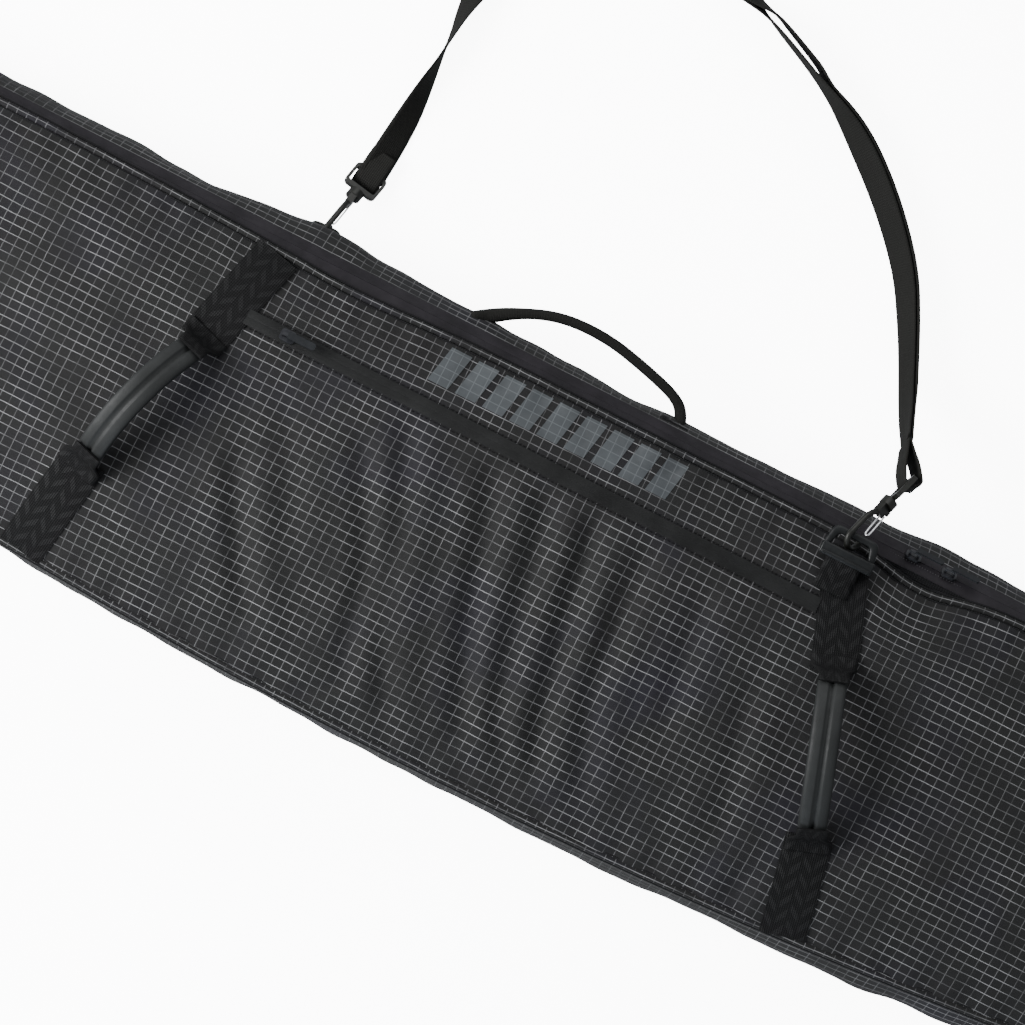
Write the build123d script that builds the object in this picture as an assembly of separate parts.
from build123d import *
import os
from math import atan2, cos, degrees, hypot, pi, radians, sin, sqrt, tan

# Padded ski bag lying on its back panel, in millimetres.
# Origin: centre of the back face. +X along the bag, +Y towards the main zip, +Z out of the front panel.

# ---------------------------------------------------------------- driving dimensions
LENGTH = 1800
ZIP_EDGE_Y = 175            # widest line of the side that carries the main zip
HINGE_EDGE_Y = -177         # widest line of the opposite side, at its middle
BOW_RADIUS = 5300           # that opposite side is bowed in plan
ZIP_CORNER = 100            # plan corner radii at the widest line
HINGE_CORNER = 70
MIN_CORNER = 12

FABRIC = 1.0                # outer ripstop
FOAM = 5.0                  # closed-cell padding
LINING = 0.8
INNER = FABRIC + FOAM       # depth of the lining behind the outer face
WALL = INNER + LINING

TAPE_LOW_Z = 78             # lower edge of the main zip's band
SLIT_Z = 88                 # where the band parts
LID_GAP = 0.4               # between the two halves of the band
TAPE_HIGH_Z = 98
PANEL_Z = 102               # rim of the front panel
HINGE_ZONE_X = 520          # the main zip stops here on the hinge side

# (height, inset from the zip side and ends, inset from the hinge side) of the outer skin
BASE_LEVELS = [(0, 15, 13), (10, 7, 6), (50, 0, 0), (TAPE_LOW_Z, 9, 3)]
SLIT_INSETS = (16.5, 5.5)
RIM_LEVELS = [(TAPE_HIGH_Z, 24, 9), (PANEL_Z, 28, 10)]
CROWN_LEVELS = [(111, 42, 24), (119, 64, 46), (124, 92, 74), (128, 135, 117)]

PIPING = 3.6                # how far the bound edges stand out

WEBBING = 38                # carry webbings
WEBBING_THICK = 1.8
STRAP = 25                  # shoulder strap
STRAP_THICK = 2.4
STRAP_GAP = 0.2             # air between its two layers

# the two carry handles: where each webbing line starts, where its loose part starts and ends, its end
LEFT_HANDLE = [(-260, 147), (-282, 55), (-321, -68), (-338, -158)]
RIGHT_HANDLE = [(257, 128), (283, 50), (326, -76), (345, -158)]
GRIP_RISE = 34              # of the arch's middle above its hinge line
GRIP_START = 15             # height at which the padded part of the arch starts
GRIP_WIDTH = 25
GRIP_THICK = 11

# the band of the main zip, along its straight side
BAND_TILT = degrees(atan2(20, 15))
SLIT_Y = ZIP_EDGE_Y - SLIT_INSETS[0]
SLIDER_A_X = 303
SLIDER_B_X = 335
POCKET_Y = 90.5
POCKET_LEFT = -252.5
POCKET_RIGHT = 246
POCKET_SLIDER_X = -222

HOOK_WIRE = 5.0
BOWL_RADIUS = 9.2
HOOK_REACH = 38             # bowl centre to collar
COLLAR = 7
EYE_LENGTH = 24
EYE_WIDTH = 30
EYE_WIRE = 4.4
EYE_ROOM = EYE_WIRE * 0.73  # round the square bar
HOOK_SPIN_RIGHT = 50        # turn of each hook about its own line, from lying flat
HOOK_SPIN_LEFT = 90
EYE_SPIN = {"right": 90, "left": 0}
EYE_BAR = HOOK_REACH + COLLAR + 1 + EYE_LENGTH - EYE_WIRE / 2   # bowl centre to the strap's bar
RING_WIRE = 5.0
DRING_WIRE = 4.0
LOOP_THICK = 2.2            # webbing round a bar

# shoulder strap lying on the floor, from the left hook round to the foot of its rise to the right hook
STRAP_ROUTE = [(-229, 243), (-224.5, 286), (-223, 328), (-221.5, 366), (-222.5, 402), (-217, 442),
               (-197, 483), (-161, 514), (-116, 530), (-69, 531), (-26, 518), (14, 502), (56, 483),
               (98, 462), (137, 433), (171, 401), (200, 367), (219, 333)]
ADJUSTER_POINT = 10         # the second layer starts half a run before this point of the route
# the rise: share of the way to the right hook's eye, and height
STRAP_RISE = [(0.2, 4), (0.42, 20), (0.62, 50), (0.82, 79), (1.0, 94)]
TIE_X = 420


# ---------------------------------------------------------------- shell of the bag
def outline(z, zip_inset, hinge_inset):
    """Closed plan outline at height z, pulled in from the bag's widest line."""
    zip_y = ZIP_EDGE_Y - zip_inset
    end_x = LENGTH / 2 - zip_inset
    bow = BOW_RADIUS - hinge_inset
    bow_y = HINGE_EDGE_Y + BOW_RADIUS
    near = max(ZIP_CORNER - zip_inset, MIN_CORNER)
    far = max(HINGE_CORNER - zip_inset, MIN_CORNER)
    far_y = bow_y - sqrt((bow - far) ** 2 - (end_x - far) ** 2)
    touch_x = (end_x - far) * bow / (bow - far)
    touch_y = bow_y + (far_y - bow_y) * bow / (bow - far)
    half_turn = atan2(touch_y - far_y, touch_x - (end_x - far)) / 2
    near_mid = near * (1 - cos(pi / 4))
    far_mid = (end_x - far + far * cos(half_turn), far_y + far * sin(half_turn))

    edges = [Line((near - end_x, zip_y, z), (end_x - near, zip_y, z))]
    edges += [ThreePointArc((end_x - near, zip_y, z), (end_x - near_mid, zip_y - near_mid, z),
                            (end_x, zip_y - near, z))]
    edges += [Line((end_x, zip_y - near, z), (end_x, far_y, z))]
    edges += [ThreePointArc((end_x, far_y, z), (far_mid[0], far_mid[1], z), (touch_x, touch_y, z))]
    edges += [ThreePointArc((touch_x, touch_y, z), (0, bow_y - bow, z), (-touch_x, touch_y, z))]
    edges += [ThreePointArc((-touch_x, touch_y, z), (-far_mid[0], far_mid[1], z), (-end_x, far_y, z))]
    edges += [Line((-end_x, far_y, z), (-end_x, zip_y - near, z))]
    edges += [ThreePointArc((-end_x, zip_y - near, z), (near_mid - end_x, zip_y - near_mid, z),
                            (near - end_x, zip_y, z))]
    return Wire(edges)


def body(levels, depth):
    """Solid bounded by the given levels, each pulled in by depth."""
    wires = [outline(z, a + depth, b + depth) for z, a, b in levels]
    return Part() + Solid.make_loft(wires, ruled=True)


def insets_at(levels, z):
    """Insets of the skin at height z, between two levels."""
    for (z0, a0, b0), (z1, a1, b1) in zip(levels, levels[1:]):
        if z0 <= z <= z1:
            share = (z - z0) / (z1 - z0)
            return z, a0 + share * (a1 - a0), b0 + share * (b1 - b0)


def band(levels, low, high, outer, inner):
    """Ring of the side wall between two heights and two depths."""
    inside = [level for level in levels if low < level[0] < high]
    cut = [insets_at(levels, low)] + inside + [insets_at(levels, high)]
    return body(cut, outer) - body(cut, inner)


ROOT_LEVELS = BASE_LEVELS + [(SLIT_Z, *SLIT_INSETS)]
LID_LEVELS = [(SLIT_Z, *SLIT_INSETS)] + RIM_LEVELS


def crown(rise):
    """Solid under the front panel's outer face, moved out by rise, or in where rise is negative."""
    levels = RIM_LEVELS + CROWN_LEVELS
    rim_rise = 1.3 * rise if rise < 0 else rise
    moved = [(levels[0][0], levels[0][1] - rim_rise, levels[0][2] - rim_rise)]
    for before, here, after in zip(levels, levels[1:], levels[2:] + [None]):
        if rise < 0 and here[0] == PANEL_Z:
            continue
        low_slope = atan2(here[0] - before[0], here[1] - before[1])
        high_slope = atan2(after[0] - here[0], after[1] - here[1]) if after else 0
        slope = (low_slope + high_slope) / 2
        up = rise * cos(slope)
        out = rise * sin(slope)
        moved.append((here[0] + up, here[1] - out, here[2] - out))
    return body(moved, 0)


def on_panel(area, low, high):
    """The part of a plan area that lies between two heights above the front panel's face."""
    column = extrude(Pos(0, 0, PANEL_Z + 0.2) * area, 60)
    return column & (crown(high) - crown(low))


def panel_height(y):
    """Height of the front panel's face on the zip side's slope or the hinge side's."""
    rims = [RIM_LEVELS[-1]] + CROWN_LEVELS
    for (z0, a0, b0), (z1, a1, b1) in zip(rims, rims[1:]):
        y0, y1 = (ZIP_EDGE_Y - a0, ZIP_EDGE_Y - a1) if y > 0 else (HINGE_EDGE_Y + b0, HINGE_EDGE_Y + b1)
        if min(y0, y1) <= y <= max(y0, y1):
            return z0 + (z1 - z0) * (y - y0) / (y1 - y0)
    return CROWN_LEVELS[-1][0]


def block(x0, x1, y0, y1, z0, z1):
    """Box between two corners."""
    return Pos((x0 + x1) / 2, (y0 + y1) / 2, (z0 + z1) / 2) * Box(x1 - x0, y1 - y0, z1 - z0)


END_X = 800
HINGE_ZONE = block(-HINGE_ZONE_X, HINGE_ZONE_X, -300, -100, -10, 200)


def back():
    """Back panel in three layers."""
    foot = [insets_at(BASE_LEVELS, 0), insets_at(BASE_LEVELS, FABRIC)]
    pad = [insets_at(BASE_LEVELS, FABRIC), insets_at(BASE_LEVELS, INNER)]
    lining = [insets_at(BASE_LEVELS, INNER), insets_at(BASE_LEVELS, WALL)]
    return {"back_panel": body(foot, 0), "back_foam": body(pad, FABRIC), "back_lining": body(lining, INNER)}


def gussets():
    """Side wall below the zip band: four outer pieces, four pads and one lining."""
    outer = band(ROOT_LEVELS, FABRIC, TAPE_LOW_Z, 0, FABRIC)
    raised = band(ROOT_LEVELS, TAPE_LOW_Z, SLIT_Z, 0, FABRIC)
    foam = band(ROOT_LEVELS, INNER, TAPE_LOW_Z, FABRIC, INNER)
    zones = {
        "zip_side": block(-END_X, END_X, 0, 300, -10, 200),
        "hinge_side": block(-END_X, END_X, -300, 0, -10, 200),
        "end_left": block(-1000, -END_X, -300, 300, -10, 200),
        "end_right": block(END_X, 1000, -300, 300, -10, 200),
    }
    pieces = {}
    for name, zone in zones.items():
        pieces["gusset_" + name] = outer & zone
        pieces["gusset_foam_" + name] = foam & zone
    pieces["gusset_hinge_side"] += raised & HINGE_ZONE
    pieces["gusset_lining"] = band(ROOT_LEVELS, WALL, TAPE_LOW_Z, INNER, WALL)
    return pieces


def piping(levels, low, high):
    """Bound cord sewn round an edge of the bag, standing out from its skin between two heights."""
    bevel = (high - low) / 4
    outer, inner = [], []
    for z, proud in ((low, 0.6), (low + bevel, PIPING), (high - bevel, PIPING), (high, 0.6)):
        level = insets_at(levels, z)
        inner.append(level)
        outer.append((z, level[1] - proud, level[2] - proud))
    return body(outer, 0) - body(inner, 0)


def main_zip():
    """Two tapes with a coil on the inner face of each; none in the hinge zone."""
    low = band(ROOT_LEVELS, TAPE_LOW_Z, SLIT_Z, 0, FABRIC) - HINGE_ZONE
    high = band(LID_LEVELS, SLIT_Z + LID_GAP, TAPE_HIGH_Z, 0, FABRIC)
    coil = 2.4
    low_coil = band(ROOT_LEVELS, SLIT_Z - coil, SLIT_Z, FABRIC, FABRIC + coil)
    high_coil = band(LID_LEVELS, SLIT_Z + LID_GAP, SLIT_Z + LID_GAP + coil, FABRIC, FABRIC + coil)
    return {
        "zip_tape_lower": low,
        "zip_tape_upper": high - HINGE_ZONE,
        "gusset_hinge_upper": high & HINGE_ZONE,
        "zip_coil_lower": low_coil - HINGE_ZONE,
        "zip_coil_upper": high_coil - HINGE_ZONE,
    }


def front():
    """Front panel in three layers, with the pocket's zip, its bag and the emblem."""
    skin, pad, inner = crown(0), crown(-FABRIC), crown(-INNER)
    tape = 6
    upper = Pos((POCKET_LEFT + POCKET_RIGHT) / 2, POCKET_Y + tape / 2 + 0.2) * Rectangle(
        POCKET_RIGHT - POCKET_LEFT, tape)
    lower = Pos(0, -tape - 0.4) * upper
    pouch = Pos((POCKET_LEFT + POCKET_RIGHT) / 2, POCKET_Y - 90) * RectangleRounded(
        POCKET_RIGHT - POCKET_LEFT, 200, 15)
    emblem = Pos(0, 127) * RectangleRounded(218, 34, 4)
    return {
        "front_panel": skin - pad,
        "front_foam": pad - inner,
        "front_lining": inner - crown(-WALL),
        "pocket_tape_upper": on_panel(upper, 0, 0.8),
        "pocket_tape_lower": on_panel(lower, 0, 0.8),
        "pocket_bag": on_panel(pouch, -WALL - 1.6, -WALL),
        "emblem_patch": on_panel(emblem, 0, 0.4),
    }


# ---------------------------------------------------------------- carry handles
def strip(start, end, width):
    """Plan area of a straight strip."""
    length = hypot(end[0] - start[0], end[1] - start[1])
    angle = degrees(atan2(end[1] - start[1], end[0] - start[0]))
    middle = ((start[0] + end[0]) / 2, (start[1] + end[1]) / 2)
    return Pos(*middle) * Rot(0, 0, angle) * Rectangle(length, width)


def hinge_line(handle):
    """Ends of the line that a carry handle's loose part swings about."""
    ends = []
    for x, y in handle[1:3]:
        ends.append(Vector(x, y, panel_height(y) + WEBBING_THICK))
    return ends


def arch(handle):
    """The loose part of a carry handle: its webbing core and the padded grip round it."""
    start, end = hinge_line(handle)
    along = (end - start).normalized()
    side = along.cross(Vector(0, 0, 1)).normalized()
    plane = Plane(origin=(start + end) / 2, x_dir=along, z_dir=side)
    half = (end - start).length / 2
    lift = 1 if plane.y_dir.Z > 0 else -1
    crown_y = lift * GRIP_RISE
    shoulder = (half - 13, lift * GRIP_START)
    foot = (half - 4, lift * 6)
    neck = plane * Line((-foot[0], foot[1]), (-shoulder[0], shoulder[1]))
    neck_end = plane * Line((shoulder[0], shoulder[1]), (foot[0], foot[1]))
    curve = plane * ThreePointArc((-shoulder[0], shoulder[1]), (0, crown_y), (shoulder[0], shoulder[1]))
    profile = Plane(curve @ 0, x_dir=side, z_dir=curve % 0)
    sleeve = sweep(profile * RectangleRounded(GRIP_WIDTH, GRIP_THICK, 4.5), path=curve)
    core = sweep(profile * Rectangle(GRIP_WIDTH - 7, 3), path=curve)
    necks = Part()
    for edge in (neck, neck_end):
        necks += sweep(Plane(edge @ 0, x_dir=side, z_dir=edge % 0) * Rectangle(9, 3), path=edge)
    return sleeve - core, core + (necks - sleeve)


def carry_handle(side, handle):
    """Sewn webbing above and below, and the loose arch between them."""
    top = on_panel(strip(handle[0], handle[1], WEBBING), 0, WEBBING_THICK)
    bottom = on_panel(strip(handle[2], handle[3], WEBBING), 0, WEBBING_THICK)
    sleeve, core = arch(handle)
    return {
        side + "_webbing_upper": top,
        side + "_webbing_lower": bottom,
        side + "_grip": sleeve,
        side + "_grip_webbing": core,
    }


# ---------------------------------------------------------------- haul handle on the zip side's gusset
HAUL_Z = 58
HAUL_LEFT = -90
HAUL_RIGHT = 85
HAUL_REACH = 207


def haul_handle():
    """Rolled webbing arch and the two patches that hold its ends."""
    skin_y = ZIP_EDGE_Y - insets_at(BASE_LEVELS, HAUL_Z)[1]
    radius = 4.6
    start_y = skin_y + 2 + radius + 0.3
    top = (-14, HAUL_REACH - radius, HAUL_Z)
    first = TangentArc((HAUL_LEFT, start_y, HAUL_Z), (-52, 198, HAUL_Z), tangent=(0.82, 0.57))
    second = TangentArc((-52, 198, HAUL_Z), top, tangent=first % 1)
    third = TangentArc(top, (56, 194, HAUL_Z), tangent=second % 1)
    last = TangentArc((56, 194, HAUL_Z), (HAUL_RIGHT, start_y, HAUL_Z), tangent=third % 1)
    path = Wire([first, second, third, last])
    grip = sweep(Plane(path @ 0, z_dir=path % 0) * Circle(radius), path=path)
    patches = Part()
    for x in (HAUL_LEFT, HAUL_RIGHT):
        patches += block(x - 14, x + 14, skin_y - 10, skin_y + 2, HAUL_Z - 16, HAUL_Z + 16)
    return {"haul_handle": grip, "haul_handle_patches": patches - body(ROOT_LEVELS, 0)}


# ---------------------------------------------------------------- zips' sliders
def slider(pull_side):
    """Zip slider and its pull about the coil's slit; the pull lies towards pull_side (1 or -1) along X."""
    wings = Pos(0, 0, 1.6) * extrude(RectangleRounded(13, 10, 3), 2.6)
    bridge = Pos(0, 0, 6.2) * Box(9, 3, 4)
    bridge -= Pos(0, 0, 5.8) * Box(5.4, 4, 2.6)
    pin_x = pull_side * 1.2
    tab = Pos(pull_side * 12.5, 0, 9.6) * RectangleRounded(23, 6, 2)
    pull = extrude(tab, 1.6)
    pin = Pos(pin_x, 0, 10.4) * Box(1.6, 6, 1.6)
    return wings + bridge, pull + pin


def placed_sliders():
    """Two sliders head to head on the main zip and one on the pocket's zip."""
    main_face = Pos(0, SLIT_Y, SLIT_Z + LID_GAP / 2) * Rot(-(90 - degrees(atan2(15, 20))), 0, 0)
    pocket_tilt = degrees(atan2(124 - 119, 92 - 64))
    pocket_face = Pos(0, POCKET_Y, panel_height(POCKET_Y)) * Rot(-pocket_tilt, 0, 0)
    pieces = {}
    spots = (("main_slider_a", "main_pull_a", main_face, SLIDER_A_X),
             ("main_slider_b", "main_pull_b", main_face, SLIDER_B_X),
             ("pocket_slider", "pocket_pull", pocket_face, POCKET_SLIDER_X))
    for slider_name, pull_name, face, x in spots:
        runner, pull = slider(1)
        pieces[slider_name] = face * Pos(x, 0, 0) * runner
        pieces[pull_name] = face * Pos(x, 0, 0) * pull
    return pieces


# ---------------------------------------------------------------- rings, hooks and eyes
RIGHT_BOWL = Vector(252, 152, 116)
RIGHT_EYE = Vector(272, 211, 95)
LEFT_BOWL = Vector(-240, 186, 41)
LEFT_EYE = Vector(-230, 243, 7.5)
RING_BAR = Vector(253, 134, 117)
DRING_BAR = Vector(-240, 178.2, 57.5)


def hook_plane(bowl, eye, spin):
    """Plane with x from the hook's bowl to its eye, turned by spin degrees about that line."""
    return Plane(origin=bowl, x_dir=(eye - bowl).normalized(),
                 z_dir=(eye - bowl).cross(Vector(0, 0, 1)).cross(eye - bowl).normalized()) * Rot(spin, 0, 0)


def snap_hook():
    """Trigger snap hook in its own plane: frame with its collar, sprung gate, and swivel eye."""
    r = BOWL_RADIUS
    wire = HOOK_WIRE / 2
    tip = Line((9, -r), (0, -r))
    bowl = ThreePointArc((0, -r), (-r, 0), (0, r))
    arm = Line((0, r), (14, r))
    sway = TangentArc((14, r), (30, 2.5), tangent=(1, 0))
    path = Wire([tip, bowl, arm, sway])
    frame = sweep(Plane(path @ 0, z_dir=path % 0) * Circle(wire), path=path)
    block_end = Pos(33.5, -1, 0) * Box(10, 14, 5.6)
    collar = Pos(HOOK_REACH + COLLAR / 2, 0, 0) * Rot(0, 90, 0) * Cylinder(6.5, COLLAR)
    bore = Pos(HOOK_REACH + COLLAR / 2, 0, 0) * Rot(0, 90, 0) * Cylinder(2.6, COLLAR + 4)
    gate_room = Pos(29.6, -7.2, 0) * Box(9, 6, 8)
    frame = frame + (block_end - gate_room) + collar - bore

    gate_pin = (31.5, -6.4)
    pad = Pos(*gate_pin, 0) * Rot(0, 0, 6)
    lever = pad * Pos(-11.2, 0, 0) * Box(20, 2.4, 2.4)
    knuckle = pad * Cylinder(1.9, 4)
    gate = lever + knuckle

    eye_x = HOOK_REACH + COLLAR
    stem = Pos(eye_x - COLLAR / 2 + 1, 0, 0) * Rot(0, 90, 0) * Cylinder(2.52, COLLAR + 2)
    loop_out = extrude(Pos(eye_x + 1 + EYE_LENGTH / 2, 0) * RectangleRounded(EYE_LENGTH, EYE_WIDTH, 4.5),
                       EYE_WIRE / 2, both=True)
    loop_in = extrude(Pos(eye_x + 1 + EYE_LENGTH / 2, 0) * RectangleRounded(
        EYE_LENGTH - 2 * EYE_WIRE, EYE_WIDTH - 2 * EYE_WIRE + 4, 2), EYE_WIRE, both=True)
    return frame, gate, (stem + loop_out) - loop_in


def ring(width, depth, wire):
    """D-ring in the XY plane: a straight bar on the X axis and a rounded bow towards +Y."""
    half = width / 2 - wire / 2
    corners = Polygon((-half, 0), (half, 0), (half - 4, depth), (4 - half, depth), align=None)
    rounded = fillet(corners.vertices(), 5)
    path = rounded.face().outer_wire()
    return sweep(Plane(path @ 0, z_dir=path % 0) * Circle(wire / 2), path=path)


def bar_sleeve(centre, direction, length, clearance):
    """Webbing wrapped once round a bar: its outer cylinder and the room for the bar."""
    plane = Plane(origin=centre, z_dir=direction)
    outer = plane * Cylinder(clearance + LOOP_THICK, length)
    room = plane * Cylinder(clearance, 3 * length)
    return outer, room


def right_ring():
    """Plastic ring at the top of the right webbing, and the webbing loop that holds it."""
    reach = RIGHT_BOWL.Y - RING_BAR.Y
    loop, room = bar_sleeve(RING_BAR, (1, 0, 0), 30, RING_WIRE / 2 + 0.1)
    tail_area = Pos(RING_BAR.X, RING_BAR.Y - 14) * Rectangle(30, 24)
    tail = on_panel(tail_area, WEBBING_THICK, 2 * WEBBING_THICK)
    tail += loop - crown(WEBBING_THICK)
    return {
        "ring_right": Pos(*RING_BAR) * ring(46, reach, RING_WIRE),
        "ring_right_loop": tail - room,
    }


def left_ring():
    """Metal D-ring under the bulge of the zip side's gusset, and the tab that holds it."""
    drop = LEFT_BOWL - DRING_BAR
    drop = Vector(0, drop.Y, drop.Z)
    plane = Plane(origin=DRING_BAR, x_dir=(1, 0, 0), z_dir=Vector(1, 0, 0).cross(drop))
    loop, room = bar_sleeve(DRING_BAR, (1, 0, 0), 15, DRING_WIRE / 2 + 0.1)
    skin = body(ROOT_LEVELS, 0)
    tab = (body(ROOT_LEVELS, -WEBBING_THICK) - skin) & block(
        DRING_BAR.X - 7.5, DRING_BAR.X + 7.5, 150, 200, DRING_BAR.Z, TAPE_LOW_Z - 1)
    return {
        "dring_left": plane * ring(32, drop.length, DRING_WIRE),
        "dring_left_tab": tab + (loop - skin) - room,
    }


def hooks():
    """The shoulder strap's two hooks, each with its gate and eye."""
    frame, gate, eye = snap_hook()
    pieces = {}
    for side, bowl, end, hook_spin in (("right", RIGHT_BOWL, RIGHT_EYE, HOOK_SPIN_RIGHT),
                                        ("left", LEFT_BOWL, LEFT_EYE, HOOK_SPIN_LEFT)):
        plane = hook_plane(bowl, end, hook_spin)
        pieces["hook_" + side] = plane * frame
        pieces["hook_gate_" + side] = plane * gate
        pieces["hook_eye_" + side] = hook_plane(bowl, end, EYE_SPIN[side]) * eye
    return pieces


# ---------------------------------------------------------------- shoulder strap
def eye_bar(bowl, end):
    """Centre of the bar of a hook's eye that the strap goes round."""
    return bowl + (end - bowl).normalized() * EYE_BAR


def corner_radii(points):
    """Largest tangent arcs that each corner's two runs leave room for."""
    radii = []
    for before, here, after in zip(points, points[1:], points[2:]):
        into, out = Vector(*here) - Vector(*before), Vector(*after) - Vector(*here)
        turn = radians(into.get_angle(out))
        radii.append(0.45 * min(into.length, out.length) / tan(turn / 2))
    return radii


def strap_band(name, points, level, normal):
    """Flat strap along a route, raised by level along its face's normal."""
    radii = corner_radii(points)
    path = FilletPolyline(*points, radius=radii)
    path = Wire(path.edges())
    profile = Plane(path @ 0, x_dir=Vector(*normal).cross(path % 0), z_dir=path % 0)
    section = Pos(0, level * (STRAP_THICK + STRAP_GAP)) * Rectangle(STRAP, STRAP_THICK)
    solid = sweep(profile * section, path=path)
    expected = STRAP * STRAP_THICK * path.length
    print(f"{name}: length {path.length:.0f}, volume {solid.volume:.0f} of {expected:.0f},",
          "radii", [round(radius) for radius in radii])
    return solid


def strap():
    """Shoulder strap: one layer from the left hook to the adjuster, two from there to the right hook."""
    left_bar, right_bar = eye_bar(LEFT_BOWL, LEFT_EYE), eye_bar(RIGHT_BOWL, RIGHT_EYE)
    floor_z = STRAP_THICK / 2 + 0.1
    floor = [(x, y, floor_z) for x, y in STRAP_ROUTE]
    foot = floor[-1]
    away = Vector(right_bar.X - foot[0], right_bar.Y - foot[1], 0)
    across = away.normalized()
    rise = [foot] + [(foot[0] + across.X * away.length * share, foot[1] + across.Y * away.length * share, z)
                     for share, z in STRAP_RISE]
    rise_normal = (across * -1).cross(Vector(0, 0, 1)).cross(across * -1)
    left_axis = Plane(hook_plane(LEFT_BOWL, LEFT_EYE, EYE_SPIN["left"])).y_dir
    right_axis = Plane(hook_plane(RIGHT_BOWL, RIGHT_EYE, EYE_SPIN["right"])).y_dir
    left_loop, left_room = bar_sleeve(left_bar, left_axis, STRAP - 3, EYE_ROOM)
    right_loop, right_room = bar_sleeve(right_bar, right_axis, STRAP - 3, EYE_ROOM)
    low_layer = strap_band("strap_floor", floor, 0, (0, 0, 1)) - left_loop
    fold = Vector(*floor[ADJUSTER_POINT - 1]) * 0.5 + Vector(*floor[ADJUSTER_POINT]) * 0.5
    doubled = [tuple(fold)] + floor[ADJUSTER_POINT:]
    top_layer = strap_band("strap_floor_return", doubled, 1, (0, 0, 1))
    rise_low = strap_band("strap_rise", rise, 0, tuple(rise_normal)) - right_loop - low_layer
    rise_top = strap_band("strap_rise_return", rise, 1, tuple(rise_normal)) - right_loop - top_layer
    start, after = Vector(*doubled[0]), Vector(*doubled[1])
    seat = Plane(origin=(start.X, start.Y, 0), x_dir=after - start, z_dir=(0, 0, 1))
    frame = Pos(-11, 0, 4.2) * Box(22, STRAP + 10, 8)
    frame -= Pos(-11, 0, 2.8) * Box(24, STRAP + 4, 5.7)
    for x in (-15.5, -6.5):
        frame -= Pos(x, 0, 7) * Box(4.5, STRAP, 6)
    return {
        "strap_floor": low_layer,
        "strap_floor_return": top_layer,
        "strap_rise": rise_low,
        "strap_rise_return": rise_top,
        "strap_end_loops": (left_loop - left_room) + (right_loop - right_room),
        "strap_adjuster": seat * frame,
    }


# ---------------------------------------------------------------- tie straps inside
def tie_straps():
    """Two straps across the compartment's floor, each closed by a ladder-lock buckle."""
    straps, buckles = Part(), Part()
    for x in (-TIE_X, TIE_X):
        straps += block(x - 12.5, x + 12.5, -148, -16, WALL, WALL + 1.8)
        straps += block(x - 12.5, x + 12.5, 16, 156, WALL, WALL + 1.8)
        frame = Pos(x, 0, WALL) * extrude(RectangleRounded(34, 32, 3), 5)
        for y in (-7.5, 7.5):
            frame -= Pos(x, y, WALL) * extrude(RectangleRounded(27, 8, 1), 20, both=True)
        buckles += frame
    keep = body(ROOT_LEVELS, WALL)
    return {"tie_straps": straps & keep, "tie_buckles": buckles}


# ---------------------------------------------------------------- whole bag
def build():
    """Every node of the bag by name."""
    pieces = {}
    pieces |= back()
    pieces |= gussets()
    pieces |= main_zip()
    pieces |= front()
    pieces["back_piping"] = piping(ROOT_LEVELS, 0.4, 5.6)
    pieces["front_piping"] = piping(LID_LEVELS, TAPE_HIGH_Z + 0.2, PANEL_Z)
    pieces |= carry_handle("left", LEFT_HANDLE)
    pieces |= carry_handle("right", RIGHT_HANDLE)
    pieces |= haul_handle()
    pieces |= placed_sliders()
    pieces |= right_ring()
    pieces |= left_ring()
    pieces |= hooks()
    pieces |= strap()
    pieces |= tie_straps()
    return pieces


os.makedirs("parts", exist_ok=True)
for node, shape in build().items():
    export_step(shape, f"parts/{node}.step")
